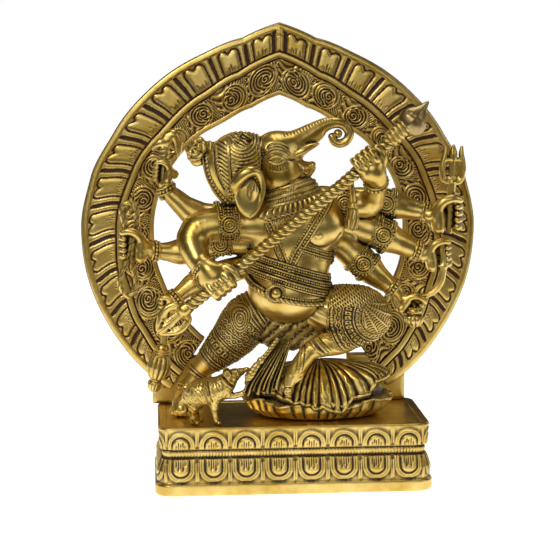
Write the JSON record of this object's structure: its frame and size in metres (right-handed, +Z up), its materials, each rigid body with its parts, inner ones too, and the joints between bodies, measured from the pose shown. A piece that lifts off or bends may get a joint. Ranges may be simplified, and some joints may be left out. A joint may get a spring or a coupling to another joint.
{
  "type": "dancing figure statue",
  "caption": "Cast brass statue of an elephant-headed, many-armed dancer with spear, seat and mouse, on a hollow oblong pedestal, before a pointed arch of petals and scrolls that lifts off.",
  "frame": {"origin": "bottom centre of the statue's bounding box: on the surface it stands on, midway across the arch and midway through the pedestal's depth", "axes": "+Z up, +X towards the viewer's right when looking at the front, +Y from the front to the back"},
  "size_m": [0.3458, 0.107, 0.3915],
  "materials": {
    "pedestal_brass": "satin cast brass with dark red-brown patina in the chased lines",
    "aureole_brass": "satin cast brass, brushed on the plain fillets, dark patina in the relief",
    "figure_brass": "polished brass with soft tool marks and brown shading in the folds",
    "chased_brass": "finely chased cloth and jewellery patterns, dark patina in the lines",
    "bright_brass": "bright polished brass",
    "blade_brass": "smooth darkened brass",
    "fixing_steel": "plain zinc-plated steel"
  },
  "bodies": {
    "statue": {"pedestal_casting": "pedestal_brass", "seat_draped_cushion": "chased_brass", "sash_pleats": "chased_brass", "hips_wrap": "chased_brass", "leg_standing": "chased_brass", "leg_bent": "chased_brass", "headdress": "chased_brass", "hair_bun": "chased_brass", "necklace_collar": "chased_brass", "spear_ferrule": "chased_brass", "mace": "chased_brass", "torso": "figure_brass", "head": "figure_brass", "trunk": "figure_brass", "ear_near": "figure_brass", "ear_far": "figure_brass", "arm_front_right": "figure_brass", "arm_front_left": "figure_brass", "arm_back_right_upper": "figure_brass", "arm_back_right_middle": "figure_brass", "arm_back_right_lower": "figure_brass", "arm_back_left_upper": "figure_brass", "arm_back_left_middle": "figure_brass", "arm_back_left_lower": "figure_brass", "goad": "figure_brass", "noose": "figure_brass", "sweet": "figure_brass", "tusk": "bright_brass", "mouse": "bright_brass", "waist_girdle": "bright_brass", "girdle_medallion": "bright_brass", "hanging_tassel": "bright_brass", "spear_twisted_shaft": "bright_brass", "spear_butt_trident": "bright_brass", "staff_trident": "bright_brass", "curved_sword": "bright_brass", "spear_blade": "blade_brass", "seat_bolt_left": "fixing_steel", "seat_bolt_right": "fixing_steel", "foot_bolt": "fixing_steel", "seat_washer_left": "fixing_steel", "seat_washer_right": "fixing_steel", "foot_washer": "fixing_steel"},
    "aureole": {"aureole_casting": "aureole_brass"}
  },
  "joints": [
    {"name": "aureole_lift", "type": "slide", "parent": "statue", "child": "aureole", "axis": [0, 0, 1], "range_m": [0, 0.03]}
  ]
}
